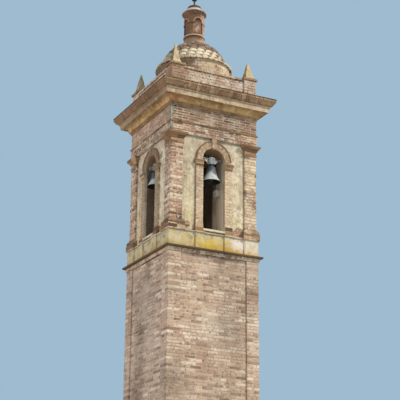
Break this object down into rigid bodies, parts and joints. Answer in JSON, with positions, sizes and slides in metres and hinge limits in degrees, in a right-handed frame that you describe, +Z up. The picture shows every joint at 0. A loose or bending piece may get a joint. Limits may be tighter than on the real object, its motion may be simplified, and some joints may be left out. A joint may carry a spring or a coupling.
{
  "type": "bell tower",
  "caption": "Square brick bell tower with an open arched belfry, swinging bells, a deep cornice, corner pinnacles, a tiled dome and a blind lantern.",
  "frame": {"origin": "centre of the tower's foot, at ground level", "axes": "+Z up, the front face with the larger bell faces -Y, the left face with the second bell faces -X"},
  "size_m": [2.926, 2.926, 15.8559],
  "materials": {
    "brick": "rough fired clay brick in lime mortar",
    "pale_brick": "rough pale fired clay brick",
    "cream_stucco": "weathered lime stucco",
    "lichen_stucco": "lime stucco with lichen",
    "ochre_render": "ochre lime render over brick",
    "ochre_stone": "weathered cast stone",
    "pale_stone": "worn pale stone",
    "roof_tile": "fired clay roof tile",
    "dark_metal": "dark weathered metal",
    "weathered_iron": "grey weathered paint",
    "headstock_steel": "grey paint",
    "clapper_iron": "dark forged iron",
    "bell_bronze": "grey patinated bronze",
    "motor_casing": "grey beige paint"
  },
  "bodies": {
    "tower": {"plinth": "brick", "ground_floor": "brick", "front_shaft_wall": "brick", "back_shaft_wall": "brick", "left_shaft_wall": "brick", "right_shaft_wall": "brick", "corner_strips": "brick", "string_course": "pale_brick", "pedestal_course": "lichen_stucco", "pedestals": "lichen_stucco", "pedestal_caps": "pale_brick", "belfry_floor": "brick", "corner_pilasters": "brick", "pilaster_bases": "pale_brick", "pilaster_capitals": "pale_brick", "front_belfry_wall": "cream_stucco", "back_belfry_wall": "cream_stucco", "left_belfry_wall": "cream_stucco", "right_belfry_wall": "cream_stucco", "jamb_pilasters": "pale_brick", "imposts": "pale_brick", "archivolts": "pale_brick", "sills": "pale_stone", "architrave": "brick", "frieze": "brick", "cornice": "ochre_render", "cornice_coping": "roof_tile", "corner_iron": "weathered_iron", "parapets": "pale_brick", "attic_pedestals": "brick", "attic_copings": "roof_tile", "pinnacles": "ochre_stone", "drum": "brick", "dome": "roof_tile", "dome_eave": "roof_tile", "lantern_foot": "brick", "lantern": "brick", "lantern_cornice": "brick", "lantern_cap": "dark_metal", "finial": "dark_metal", "bell_bearings": "weathered_iron", "bell_motor": "motor_casing"},
    "front_bell": {"front_bell": "bell_bronze", "front_headstock": "headstock_steel"},
    "front_clapper": {"front_clapper": "clapper_iron"},
    "left_bell": {"left_bell": "bell_bronze", "left_headstock": "headstock_steel"},
    "left_clapper": {"left_clapper": "clapper_iron"}
  },
  "joints": [
    {"name": "front_bell_swing", "type": "hinge", "parent": "tower", "child": "front_bell", "pos_m": [0, -0.945, 10.78], "axis": [1, 0, 0], "range_deg": [-60, 60]},
    {"name": "front_clapper_swing", "type": "hinge", "parent": "front_bell", "child": "front_clapper", "pos_m": [0, -0.945, 10.555], "axis": [1, 0, 0], "range_deg": [-19, 19]},
    {"name": "left_bell_swing", "type": "hinge", "parent": "tower", "child": "left_bell", "pos_m": [-0.945, 0, 10.78], "axis": [0, 1, 0], "range_deg": [-60, 60]},
    {"name": "left_clapper_swing", "type": "hinge", "parent": "left_bell", "child": "left_clapper", "pos_m": [-0.945, 0, 10.555], "axis": [0, 1, 0], "range_deg": [-19, 19]}
  ]
}
